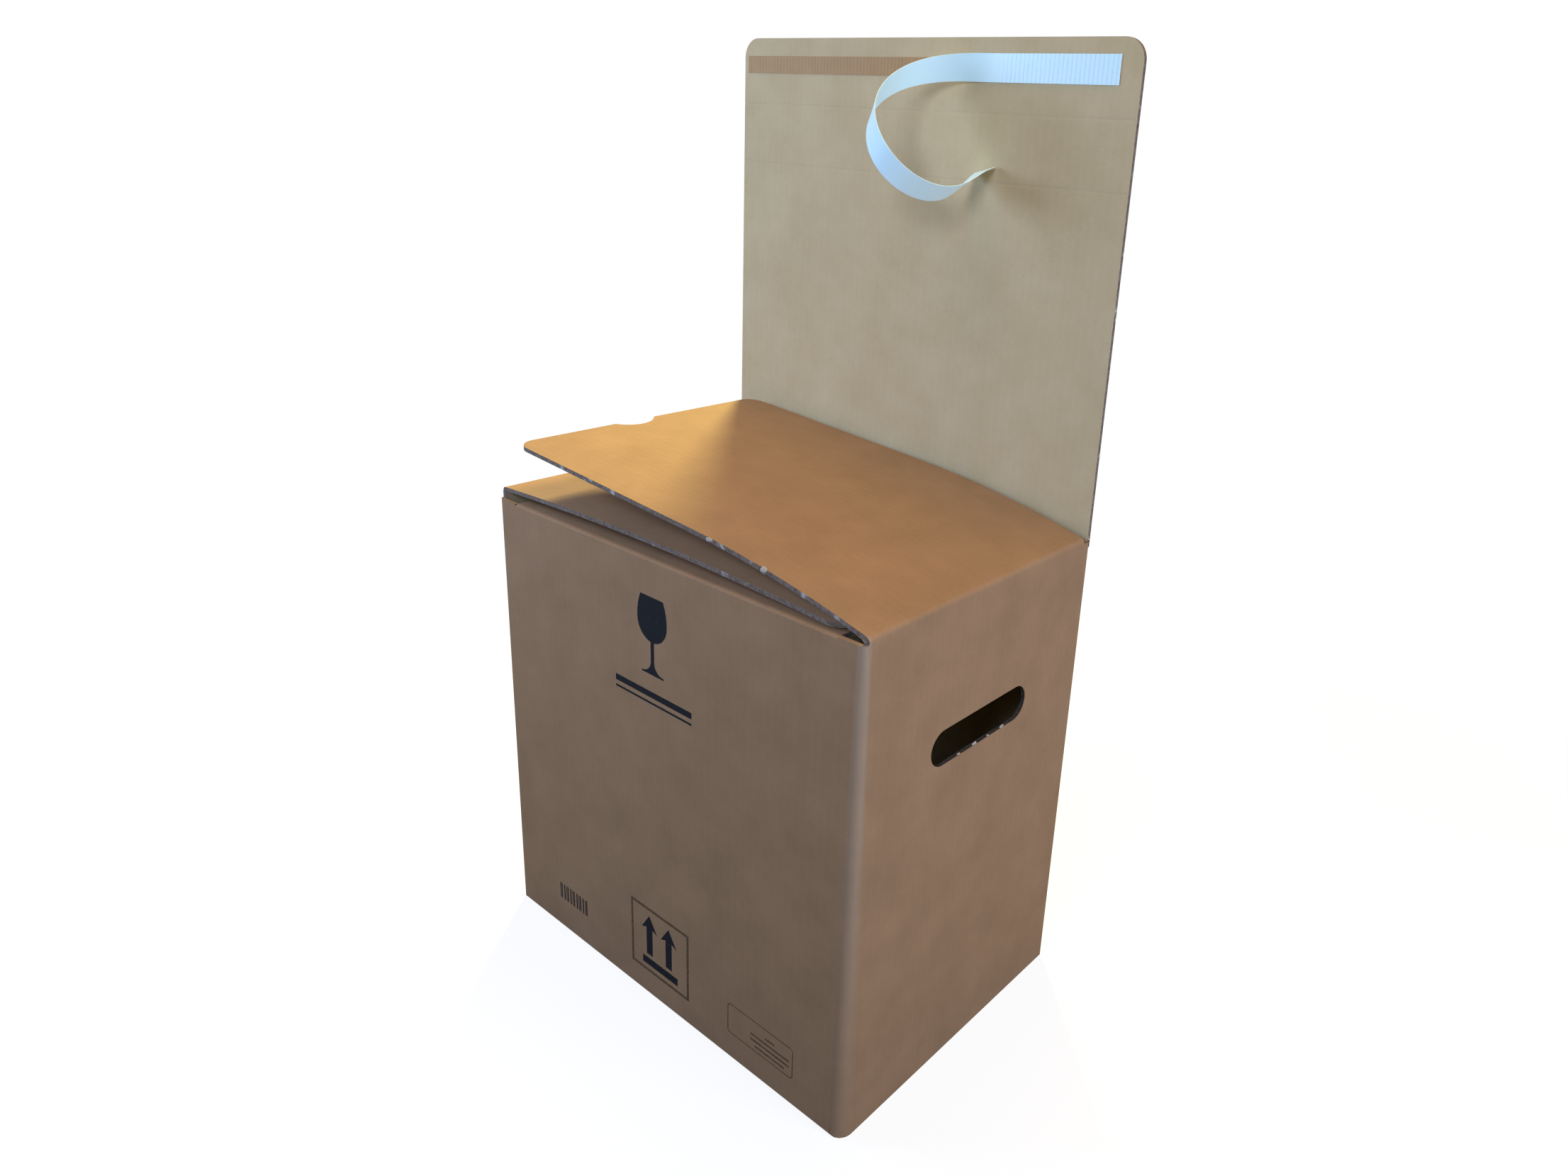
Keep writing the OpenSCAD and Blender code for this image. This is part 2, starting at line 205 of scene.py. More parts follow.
def paper_surface(tree, sizes, deep, pale):
    """Colour and height of linerboard: soft blotches, fine fibres, specks and the flutes showing through,
    with painted shading of the flutes in the colour.

    Flutes run up the walls, so on faces that look to the front or back they follow x, elsewhere y.
    """
    place = add(tree, "ShaderNodeTexCoord")
    at = add(tree, "ShaderNodeSeparateXYZ", {0: place.outputs["Object"]})
    facing = add(tree, "ShaderNodeSeparateXYZ", {0: place.outputs["Normal"]})
    turned = add(tree, "ShaderNodeMath", {0: facing.outputs["Y"]}, operation="ABSOLUTE")
    frontal = add(tree, "ShaderNodeMath", {0: turned.outputs[0], 1: 0.7}, operation="GREATER_THAN")
    across = add(tree, "ShaderNodeMix", {0: frontal.outputs[0], 2: at.outputs["Y"], 3: at.outputs["X"]})
    phase = add(tree, "ShaderNodeMath", {0: across.outputs[0], 1: 2 * math.pi / sizes.flute_pitch},
                operation="MULTIPLY")
    flute = add(tree, "ShaderNodeMath", {0: phase.outputs[0]}, operation="SINE")
    blotch = add(tree, "ShaderNodeTexNoise", {
        "Vector": place.outputs["Object"], "Scale": 1 / (34 * MM), "Detail": 4.0, "Roughness": 0.62})
    # Fibres are finer than this in life and are drawn coarse enough to show
    fibre = add(tree, "ShaderNodeTexNoise", {
        "Vector": place.outputs["Object"], "Scale": 1 / (1.6 * MM), "Detail": 3.0, "Roughness": 0.7})
    shive = add(tree, "ShaderNodeTexVoronoi", {
        "Vector": place.outputs["Object"], "Scale": 1 / (7 * MM)})
    speck = add(tree, "ShaderNodeMapRange", {
        "Value": shive.outputs["Distance"], "From Min": 0.03, "From Max": 0.1,
        "To Min": 0.3, "To Max": 0.0})
    tone = add(tree, "ShaderNodeMath", {0: blotch.outputs["Fac"], 1: 1.5, 2: -0.25},
               operation="MULTIPLY_ADD")
    fine = add(tree, "ShaderNodeMath", {0: fibre.outputs["Fac"], 1: 0.5, 2: -0.25},
               operation="MULTIPLY_ADD")
    # The flutes also make the paper a shade lighter on their crests: painted shading of the washboard
    flute_shaded = add(tree, "ShaderNodeMath", {0: flute.outputs[0], 1: 0.035, 2: fine.outputs[0]},
                 operation="MULTIPLY_ADD")
    mottle = add(tree, "ShaderNodeMath", {0: tone.outputs[0], 1: flute_shaded.outputs[0]}, use_clamp=True)
    paper = add(tree, "ShaderNodeMix", {0: mottle.outputs[0], MIX_A: rgba(deep), MIX_B: rgba(pale)},
                data_type="RGBA")
    dark = rgba([0.45 * c for c in deep])
    specked = add(tree, "ShaderNodeMix", {
        0: speck.outputs[0], MIX_A: paper.outputs[MIX_OUT], MIX_B: dark}, data_type="RGBA")
    wave = add(tree, "ShaderNodeMath", {0: flute.outputs[0], 1: sizes.flute_rise}, operation="MULTIPLY")
    height = add(tree, "ShaderNodeMath", {0: fibre.outputs["Fac"], 1: 0.05 * MM, 2: wave.outputs[0]},
                 operation="MULTIPLY_ADD")
    bump = add(tree, "ShaderNodeBump", {"Strength": 0.8, "Distance": 1.0, "Height": height.outputs[0]})
    return at, specked.outputs[MIX_OUT], bump.outputs["Normal"]


def kraft_paper(sizes, colours):
    """Machine-made kraft linerboard: matt brown, paler along the worn front right fold, partly rubbed paper
    and partly a painted highlight of the fold's turned face.
    """
    material, tree, shader = new_material("kraft_linerboard", Roughness=0.86, Specular_IOR_Level=0.22)
    at, paper, normal = paper_surface(tree, sizes, colours.kraft_deep, colours.kraft)
    # Distance from the fold's own edge, against a band that widens towards the underside
    aside = add(tree, "ShaderNodeMath", {0: at.outputs["X"], 1: RIGHT}, operation="SUBTRACT")
    inward = add(tree, "ShaderNodeMath", {0: at.outputs["Y"], 1: FRONT}, operation="SUBTRACT")
    off = add(tree, "ShaderNodeCombineXYZ", {0: aside.outputs[0], 1: inward.outputs[0]})
    away = add(tree, "ShaderNodeVectorMath", {0: off.outputs[0]}, operation="LENGTH")
    band = add(tree, "ShaderNodeMapRange", {
        "Value": at.outputs["Z"], "From Min": 0.0, "From Max": SIDE_HINGE.z,
        "To Min": sizes.worn_low, "To Max": 1.5 * sizes.worn_top})
    share = add(tree, "ShaderNodeMath", {0: away.outputs["Value"], 1: band.outputs[0]}, operation="DIVIDE")
    rub_and_highlight = add(tree, "ShaderNodeMapRange", {
        "Value": share.outputs[0], "From Min": 0.45, "From Max": 1.15, "To Min": 1.0, "To Max": 0.0},
        interpolation_type="SMOOTHSTEP")
    # The pale band grows stronger towards the top of the fold, where it stands in for the lighter turned
    # face: painted highlight
    paler_towards_top = add(tree, "ShaderNodeMapRange", {
        "Value": at.outputs["Z"], "From Min": 0.0, "From Max": SIDE_HINGE.z, "To Min": 0.12, "To Max": 0.5})
    pale = add(tree, "ShaderNodeMath", {0: rub_and_highlight.outputs[0], 1: paler_towards_top.outputs[0]}, operation="MULTIPLY")
    worn_and_highlight = add(tree, "ShaderNodeMix", {0: pale.outputs[0], MIX_A: paper, MIX_B: rgba(colours.worn_and_highlight)},
               data_type="RGBA")
    tree.links.new(worn_and_highlight.outputs[MIX_OUT], shader.inputs["Base Color"])
    tree.links.new(normal, shader.inputs["Normal"])
    return material


def inside_paper(sizes, colours):
    """Recycled inner linerboard: greyer and flatter than the outer paper, with faint flutes."""
    material, tree, shader = new_material("recycled_linerboard", Roughness=0.9, Specular_IOR_Level=0.2)
    _, paper, normal = paper_surface(tree, sizes, colours.inside_deep, colours.inside)
    tree.links.new(paper, shader.inputs["Base Color"])
    tree.links.new(normal, shader.inputs["Normal"])
    return material


def cut_edge(name, pale_tone, deep_tone, torn_tone):
    """Board edge cut by a die: pale torn fibres with darker gaps, rough to the touch."""
    material, tree, shader = new_material(name, Roughness=0.95, Specular_IOR_Level=0.15)
    place = add(tree, "ShaderNodeTexCoord")
    fray = add(tree, "ShaderNodeTexNoise", {
        "Vector": place.outputs["Object"], "Scale": 1 / (2.4 * MM), "Detail": 3.0, "Roughness": 0.75})
    pale = add(tree, "ShaderNodeMapRange", {
        "Value": fray.outputs["Fac"], "From Min": 0.38, "From Max": 0.6, "To Min": 0.0, "To Max": 1.0})
    tone = add(tree, "ShaderNodeMix", {
        0: pale.outputs[0], MIX_A: rgba(deep_tone), MIX_B: rgba(pale_tone)}, data_type="RGBA")
    bits = add(tree, "ShaderNodeTexNoise", {
        "Vector": place.outputs["Object"], "Scale": 1 / (12 * MM), "Detail": 2.0, "Roughness": 0.6})
    torn = add(tree, "ShaderNodeMapRange", {
        "Value": bits.outputs["Fac"], "From Min": 0.63, "From Max": 0.71, "To Min": 0.0, "To Max": 0.7})
    bright = add(tree, "ShaderNodeMix", {
        0: torn.outputs[0], MIX_A: tone.outputs[MIX_OUT], MIX_B: rgba(torn_tone)}, data_type="RGBA")
    bump = add(tree, "ShaderNodeBump", {
        "Strength": 0.5, "Distance": 0.3 * MM, "Height": fray.outputs["Fac"]})
    tree.links.new(bright.outputs[MIX_OUT], shader.inputs["Base Color"])
    tree.links.new(bump.outputs["Normal"], shader.inputs["Normal"])
    return material


def flexo_ink(name, ink, paper, cover):
    """Water-based flexo ink on kraft: matt, with the paper showing through in small pinholes."""
    material, tree, shader = new_material(name, Roughness=0.8, Specular_IOR_Level=0.2)
    place = add(tree, "ShaderNodeTexCoord")
    grain = add(tree, "ShaderNodeTexNoise", {
        "Vector": place.outputs["Object"], "Scale": 1 / (1.2 * MM), "Detail": 2.0, "Roughness": 0.6})
    bare = add(tree, "ShaderNodeMapRange", {
        "Value": grain.outputs["Fac"], "From Min": cover, "From Max": cover + 0.14,
        "To Min": 0.0, "To Max": 0.55})
    tone = add(tree, "ShaderNodeMix", {0: bare.outputs[0], MIX_A: rgba(ink), MIX_B: rgba(paper)},
               data_type="RGBA")
    tree.links.new(tone.outputs[MIX_OUT], shader.inputs["Base Color"])
    return material


def hot_melt(sizes, colours):
    """Pressure-sensitive hot melt: a clear amber film, a little glossy, darker between the flutes."""
    material, tree, shader = new_material("clear_hot_melt", Roughness=0.5, Specular_IOR_Level=0.3)
    place = add(tree, "ShaderNodeTexCoord")
    at = add(tree, "ShaderNodeSeparateXYZ", {0: place.outputs["Object"]})
    phase = add(tree, "ShaderNodeMath", {0: at.outputs["X"], 1: 4 * math.pi / sizes.flute_pitch},
                operation="MULTIPLY")
    ridge = add(tree, "ShaderNodeMath", {0: phase.outputs[0]}, operation="SINE")
    drift = add(tree, "ShaderNodeTexNoise", {
        "Vector": place.outputs["Object"], "Scale": 1 / (9 * MM), "Detail": 2.0})
    lines = add(tree, "ShaderNodeMath", {0: ridge.outputs[0], 1: 0.32, 2: drift.outputs["Fac"]},
                operation="MULTIPLY_ADD", use_clamp=True)
    tone = add(tree, "ShaderNodeMix", {
        0: lines.outputs[0], MIX_A: rgba(colours.glue_deep), MIX_B: rgba(colours.glue)}, data_type="RGBA")
    tree.links.new(tone.outputs[MIX_OUT], shader.inputs["Base Color"])
    return material


def release_paper(sizes, colours):
    """Siliconised release paper: satin and pale blue-white, with flute marks in the stuck part."""
    material, tree, shader = new_material("siliconised_paper", Roughness=0.38, Specular_IOR_Level=0.5)
    place = add(tree, "ShaderNodeTexCoord")
    at = add(tree, "ShaderNodeSeparateXYZ", {0: place.outputs["Object"]})
    strip = add(tree, "ShaderNodeAttribute", attribute_name="strip_length")
    stuck = add(tree, "ShaderNodeMapRange", {
        "Value": strip.outputs["Fac"], "To Min": 1.0, "To Max": 0.0,
        "From Min": sizes.liner_stuck - 12 * MM, "From Max": sizes.liner_stuck})
    phase = add(tree, "ShaderNodeMath", {0: at.outputs["X"], 1: 4 * math.pi / sizes.flute_pitch},
                operation="MULTIPLY")
    ridge = add(tree, "ShaderNodeMath", {0: phase.outputs[0]}, operation="SINE")
    patch = add(tree, "ShaderNodeTexNoise", {
        "Vector": place.outputs["Object"], "Scale": 1 / (2.5 * MM), "Detail": 2.0})
    broken = add(tree, "ShaderNodeMath", {0: ridge.outputs[0], 1: patch.outputs["Fac"]},
                 operation="MULTIPLY", use_clamp=True)
    mark = add(tree, "ShaderNodeMath", {0: broken.outputs[0], 1: stuck.outputs[0]}, operation="MULTIPLY")
    tone = add(tree, "ShaderNodeMix", {
        0: mark.outputs[0], MIX_A: rgba(colours.liner), MIX_B: rgba(colours.liner_deep)}, data_type="RGBA")
    tree.links.new(tone.outputs[MIX_OUT], shader.inputs["Base Color"])
    return material


def material_named(name):
    """A material made by an earlier step."""
    material = bpy.data.materials.get(name)
    if material is None:
        raise RuntimeError("the board step makes " + name + " and comes first")
    return material


def new_piece(name, bm, *materials):
    """Turns a bmesh into an object at the origin."""
    mesh = bpy.data.meshes.new(name)
    bm.to_mesh(mesh)
    bm.free()
    for material in materials:
        mesh.materials.append(material)
    obj = bpy.data.objects.new(name, mesh)
    bpy.context.scene.collection.objects.link(obj)
    return obj


def face_out(bm):
    """Turns the faces of a closed new mesh outwards."""
    bmesh.ops.recalc_face_normals(bm, faces=bm.faces)


def soften(bm, degrees):
    """Shades a mesh smooth, with edges that turn more than this kept sharp."""
    bm.normal_update()
    for face in bm.faces:
        face.smooth = True
    for edge in bm.edges:
        edge.smooth = edge.calc_face_angle(0) < math.radians(degrees)


def zone_by(node, zone, materials):
    """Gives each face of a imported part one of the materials, by its centre and normal."""
    mesh = frame["nodes"][node].data
    mesh.materials.clear()
    for material in materials:
        mesh.materials.append(material)
    mesh.polygons.foreach_set("material_index", [zone(p.center, p.normal) for p in mesh.polygons])


# Papers of the board, by their place in its list of materials
OUTSIDE, INSIDE, EDGE, HOLE_SHADE = 0, 1, 2, 3
NEAR = 0.05 * MM

# Heights that tell the faces of the body apart
HOLE_LOW, HOLE_HIGH = 0.6 * SIDE_HINGE.z, 0.8 * SIDE_HINGE.z
FLAPS_LOW = SIDE_HINGE.z - 9 * MM
TUCK_LOW = SIDE_HINGE.z - 20 * MM

# Depth down to which the closure flap's grooves count as its inner face
GROOVE_ZONE = 0.7 * MM


def body_zone(at, normal):
    """Which paper a face of the carton's body shows."""
    wide, deep = abs(at.x), abs(at.y)
    inner_x, inner_y = RIGHT - BOARD, BACK - BOARD
    in_hand_hole = wide > inner_x + NEAR and abs(normal.x) < 0.1 and HOLE_LOW < at.z < HOLE_HIGH
    above_fold = at.z > FLAPS_LOW
    flap_side = above_fold and abs(normal.y) > 0.9 and deep < inner_y + NEAR
    flap_end = above_fold and abs(normal.x) > 0.9 and wide < inner_x - NEAR
    flap_corner = above_fold and abs(normal.z) < 0.5 and wide < inner_x - NEAR and deep < inner_y - NEAR
    wall_top = above_fold and normal.z > 0.9 and (wide > inner_x or at.y > inner_y)
    # The hand hole's rim takes the darkened edge paper, as painted shade
    if in_hand_hole:
        return HOLE_SHADE
    if flap_side or flap_end or flap_corner or (wall_top and at.z < SIDE_HINGE.z - BOARD + NEAR):
        return EDGE
    on_side = wide > RIGHT - NEAR and abs(normal.x) > 0.5
    on_front = deep > BACK - NEAR and abs(normal.y) > 0.5
    cornered = wide > RIGHT - 5 * BOARD and deep > BACK - 5 * BOARD
    folded = cornered and normal.x * at.x + normal.y * at.y > 0
    on_top = at.z > TUCK_LOW and normal.z > 0.1
    under = at.z < BOARD - NEAR and normal.z < 0.5
    return OUTSIDE if on_side or on_front or folded or on_top or under else INSIDE


def side_flap_zone(at, normal):
    """Outer paper on top of the side flap, inner paper beneath, cut edges round it."""
    if abs(normal.z) < 0.7:
        return EDGE
    return OUTSIDE if normal.z > 0 else INSIDE


def closure_zone(at, normal):
    """Inner paper on the face that looks forward, outer paper behind, cut edges round the closure flap."""
    if at.y > CLOSURE_HIGH.y - NEAR:
        return OUTSIDE
    facing = abs(normal.y) > 0.2 and at.y < CLOSURE_LOW.y + GROOVE_ZONE
    return INSIDE if facing or at.z < CLOSURE_HINGE.z else EDGE


class CARTON_OT_board(bpy.types.Operator):
    """Give the folded board its papers and cut edges"""

    bl_idname = "carton.board"
    bl_label = "Board"

    def execute(self, context):
        sizes, colours = context.scene.carton_sizes, context.scene.carton_colours
        papers = [
            kraft_paper(sizes, colours), inside_paper(sizes, colours),
            cut_edge("die_cut_board_edge", colours.edge, colours.edge_deep, colours.edge_torn),
            # Darker copy of the cut edge for the hand hole's rim: painted shade
            cut_edge("hole_edge_painted_shade", colours.hole_edge_shaded, colours.hole_edge_shaded_deep, colours.edge)]
        self.body(sizes, papers)
        self.closure(sizes, papers)
        zone_by("side_flap", side_flap_zone, papers)
        return {"FINISHED"}

    def merged(self, node):
        """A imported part's mesh with its loose triangles joined."""
        bm = bmesh.new()
        bm.from_mesh(frame["nodes"][node].data)
        bmesh.ops.remove_doubles(bm, verts=bm.verts, dist=0.001 * MM)
        return bm

    def sheet(self, bm, name, node, body, slot, zone, papers):
        """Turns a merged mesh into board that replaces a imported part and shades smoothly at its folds."""
        bm.normal_update()
        for face in bm.faces:
            face.material_index = zone(face.calc_center_median(), face.normal)
        soften(bm, 32)
        board = new_piece(name, bm, *papers)
        # The loose triangles' own corner normals no longer fit the merged sheet
        board.data.attributes.remove(board.data.attributes["custom_normal"])
        walls = board.modifiers.new("flat_walls", "WEIGHTED_NORMAL")
        walls.keep_sharp = True
        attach(board, body)
        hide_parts(node)

    def body(self, sizes, papers):
        """The folded body, with its worn and crushed folds."""
        bm = self.merged("carton_body")
        self.round_under(bm, sizes)
        self.wear(bm, sizes)
        self.front_fold(bm, sizes)
        self.sheet(bm, "carton_board", "carton_body", "carton", "kraft_board", body_zone, papers)

    def closure(self, sizes, papers):
        """The closure flap, whose cross creases are pressed so lightly that they hardly show."""
        bm = self.merged("closure_flap")
        for z in CROSS_CREASES:
            groove = [v for v in bm.verts if abs(v.co.z - z) < BOARD and v.co.y < CLOSURE_LOW.y + BOARD / 2]
            deepest = max(v.co.y for v in groove) - CLOSURE_LOW.y
            for vert in groove:
                vert.co.y = CLOSURE_LOW.y + (vert.co.y - CLOSURE_LOW.y) * sizes.crease_depth / deepest
        self.sheet(
            bm, "closure_board", "closure_flap", "closure_flap", "kraft_inside", closure_zone, papers)

    def slice_up(self, bm, faces, along, places):
        """Cuts faces across at these distances along a direction; returns the pieces."""
        for place in places:
            verts = {v for f in faces for v in f.verts}
            edges = {e for f in faces for e in f.edges}
            cut = bmesh.ops.bisect_plane(
                bm, geom=[*verts, *edges, *faces], plane_co=along * place, plane_no=along)
            faces = [g for g in cut["geom"] if isinstance(g, bmesh.types.BMFace)]
        return faces

    def front_fold(self, bm, sizes):
        """Crushes the front wall's top fold to a tight edge that waves with the flutes."""
        leaning = [f for f in bm.faces if f.normal.y < -0.02 and f.normal.z > 0.02]
        outer = [f for f in leaning if f.calc_center_median().y < FRONT + BOARD]
        fold = [f for f in outer if f.calc_center_median().z > SIDE_HINGE.z - 4 * BOARD]
        crush_spread = 15 * MM
        step = sizes.flute_pitch / 4
        count = int((RIGHT - LEFT) / step)
        fold = self.slice_up(bm, fold, Vector((1, 0, 0)), [LEFT + step * (i + 0.5) for i in range(count)])
        for vert in {v for f in fold for v in f.verts}:
            lean = min(1.0, max(0.0, 1 - (vert.co.y - FRONT) / BOARD))
            rise = math.sqrt(1 - lean * lean)
            vert.co.y -= BOARD * (math.sqrt(lean) - lean)
            wave = 0.5 + 0.4 * math.sin(2 * math.pi * vert.co.x / sizes.flute_pitch)
            wave += 0.4 * noise.noise(vert.co / crush_spread)
            vert.co.z += BOARD * (math.sqrt(rise) - rise) - 2 * lean * rise * wave * sizes.fold_wave

    def round_under(self, bm, sizes):
        """Draws the underside's front right corner in behind the worn fold."""
        radius = sizes.worn_low
        for vert in bm.verts:
            off = Vector((vert.co.x - RIGHT + radius, vert.co.y - FRONT - radius, 0))
            if vert.co.z < 3 * BOARD and off.x > 0 > off.y and off.length > radius + BOARD / 6:
                vert.co += off * (radius / off.length - 1)

    def wear(self, bm, sizes):
        """Dents the worn fold a little, fading out towards its ends."""
        fold = [f for f in bm.faces if f.normal.x > 0.05 and f.normal.y < -0.05 and abs(f.normal.z) < 0.2
                and f.calc_center_median().x > RIGHT - 2 * sizes.worn_low]
        step, fade_length, dent_spread = 12 * MM, 40 * MM, 22 * MM
        count = int(SIDE_HINGE.z / step)
        fold = self.slice_up(bm, fold, Vector((0, 0, 1)), [step * i for i in range(1, count)])
        for vert in {v for f in fold for v in f.verts}:
            radius = sizes.worn_low + (sizes.worn_top - sizes.worn_low) * vert.co.z / SIDE_HINGE.z
            out = Vector((vert.co.x - RIGHT + radius, vert.co.y - FRONT - radius, 0)).normalized()
            share = max(0.0, -2 * out.x * out.y)
            fade = min(1.0, vert.co.z / fade_length, (SIDE_HINGE.z - vert.co.z) / fade_length)
            vert.co -= out * share * fade * sizes.dent * (0.6 + noise.noise(vert.co / dent_spread))


def crease_skin(name, path, run, thick, material):
    """Paper strip over a crease: a path of points, drawn out along run and given its thickness."""
    bm = bmesh.new()
    verts = [bm.verts.new(p) for p in path]
    edges = [bm.edges.new(pair) for pair in zip(verts, verts[1:])]
    drawn = bmesh.ops.extrude_edge_only(bm, edges=edges)["geom"]
    bmesh.ops.translate(bm, vec=run, verts=[g for g in drawn if isinstance(g, bmesh.types.BMVert)])
    bmesh.ops.recalc_face_normals(bm, faces=bm.faces)
    bmesh.ops.solidify(bm, geom=bm.faces[:], thickness=thick)
    face_out(bm)
    soften(bm, 40)
    return new_piece(name, bm, material)


class CARTON_OT_creases(bpy.types.Operator):
    """Run the board's papers over the two creases that turn"""

    bl_idname = "carton.creases"
    bl_label = "Creases"

    def execute(self, context):
        sizes = context.scene.carton_sizes
        kraft, inside = material_named("kraft_linerboard"), material_named("recycled_linerboard")
        self.side_crease(sizes, kraft, inside)
        self.closure_crease(sizes, kraft, inside)
        return {"FINISHED"}

    def side_crease(self, sizes, kraft, inside):
        """The two papers between the right wall and the raised flap."""
        along = Vector((-math.cos(sizes.lift_angle), 0, math.sin(sizes.lift_angle)))
        out = Vector((math.sin(sizes.lift_angle), 0, math.cos(sizes.lift_angle)))
        root = Vector((SIDE_HINGE.x, FLAP_LOW.y, SIDE_HINGE.z))
        run = Vector((0, FLAP_HIGH.y - FLAP_LOW.y, 0))
        down, side = Vector((0, 0, -1)), Vector((1, 0, 0))
        reach, lift = sizes.skin_reach, sizes.skin / 2
        # The outer paper bends in an arc that starts and ends one board thickness from the crease
        turn = math.pi / 2 - sizes.lift_angle
        bend_r = BOARD / math.tan(turn / 2)
        middle = root + down * BOARD - side * bend_r
        bend = [middle + Matrix.Rotation(-turn * i / 8, 3, "Y") @ side * (bend_r + lift) for i in range(9)]
        outer = [root + down * reach + side * lift, *bend, root + along * reach + out * lift]
        skin = crease_skin("side_crease_outer", outer, run, sizes.skin, kraft)
        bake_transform(skin)
        wall = root - side * (BOARD + lift) + down * (BOARD + reach / 8)
        under = root + (along - out) * BOARD - out * lift + along * reach / 4
        bridge = [wall.lerp(under, i / 8) for i in range(9)]
        inner = [wall + down * reach, *bridge, under + along * reach / 2]
        skin = crease_skin("side_crease_inner", inner, run, sizes.skin, inside)
        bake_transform(skin)

    def closure_crease(self, sizes, kraft, inside):
        """The two papers between the back wall and the closure flap."""
        run = Vector((CLOSURE_HIGH.x - CLOSURE_LOW.x, 0, 0))
        reach, lift = sizes.skin_reach, sizes.skin / 2
        for name, y, paper, slot in (
            ("closure_crease_outer", CLOSURE_HIGH.y + lift, kraft, "kraft_board"),
            ("closure_crease_inner", CLOSURE_LOW.y - lift, inside, "kraft_inside"),
        ):
            path = [Vector((CLOSURE_LOW.x, y, CLOSURE_HINGE.z + reach * s / 6)) for s in range(-6, 7)]
            skin = crease_skin(name, path, run, sizes.skin, paper)
            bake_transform(skin)


def ink_plate(bm, outline, lift):
    """A flat shape on the front, from points in millimetres from its left and from the underside."""
    verts = [bm.verts.new((LEFT + x * MM, FRONT - lift, z * MM)) for x, z in outline]
    face = bm.faces.new(verts)
    sunk = bmesh.ops.extrude_face_region(bm, geom=[face])["geom"]
    back = [g for g in sunk if isinstance(g, bmesh.types.BMVert)]
    bmesh.ops.translate(bm, vec=(0, 2 * lift, 0), verts=back)


def box_points(left, low, wide, high):
    """Corners of an upright box on the front, in millimetres."""
    return [(left, low), (left + wide, low), (left + wide, low + high), (left, low + high)]


def ink_frame(bm, left, low, wide, high, line, lift, radius=0.0):
    """A thin frame whose corners may be rounded."""
    steps = 6
    inner_r = max(radius - line, 0)
    outer, inner = [], []
    right, top = left + wide, low + high
    for quarter, (x, z) in enumerate([(right, low), (right, top), (left, top), (left, low)]):
        way_x = -1 if x > left else 1
        way_z = -1 if z > low else 1
        if not radius:
            outer.append((x, z))
            inner.append((x + way_x * line, z + way_z * line))
            continue
        mid_x, mid_z = x + way_x * radius, z + way_z * radius
        for i in range(steps + 1):
            angle = math.radians(90 * (quarter - 1 + i / steps))
            outer.append((mid_x + radius * math.cos(angle), mid_z + radius * math.sin(angle)))
            inner.append((mid_x + inner_r * math.cos(angle), mid_z + inner_r * math.sin(angle)))
    for i in range(len(outer)):
        j = (i + 1) % len(outer)
        ink_plate(bm, [outer[i], outer[j], inner[j], inner[i]], lift)


def glass_outline():
    """A stemmed glass: half of its outline by formula, then mirrored."""
    middle, rim_z, widest_z, bowl_z, stem_z, foot_z = 170.8, 320.3, 303.4, 288.2, 274.0, 264.7
    bowl_w, rim_w, stem_w, foot_w, foot_thick = 14.8, 11.2, 1.7, 11.0, 1.2
    rim_a = math.acos(rim_w / bowl_w)
    low_a = -math.acos(stem_w / bowl_w)
    half = []
    for i in range(13):
        angle = rim_a + (low_a - rim_a) * i / 12
        reach = (rim_z - widest_z) / math.sin(rim_a) if angle > 0 else widest_z - bowl_z
        half.append((bowl_w * math.cos(angle), widest_z + reach * math.sin(angle)))
    for i in range(9):
        angle = math.radians(90 * i / 8)
        spread = stem_w + (foot_w - stem_w) * (1 - math.cos(angle))
        half.append((spread, stem_z + (foot_z + foot_thick - stem_z) * math.sin(angle)))
    half.append((foot_w, foot_z))
    return [(middle + w, z) for w, z in half] + [(middle - w, z) for w, z in reversed(half)]


def arrow_outline(middle):
    """An upright arrow with swept barbs."""
    tip_z, barb_z, notch_z, foot_z = 70.0, 57.2, 59.2, 36.1
    barb_w, shaft_w = 8.6, 3.3
    return [
        (middle - shaft_w, foot_z), (middle + shaft_w, foot_z), (middle + shaft_w, notch_z),
        (middle + barb_w, barb_z), (middle, tip_z), (middle - barb_w, barb_z), (middle - shaft_w, notch_z)]


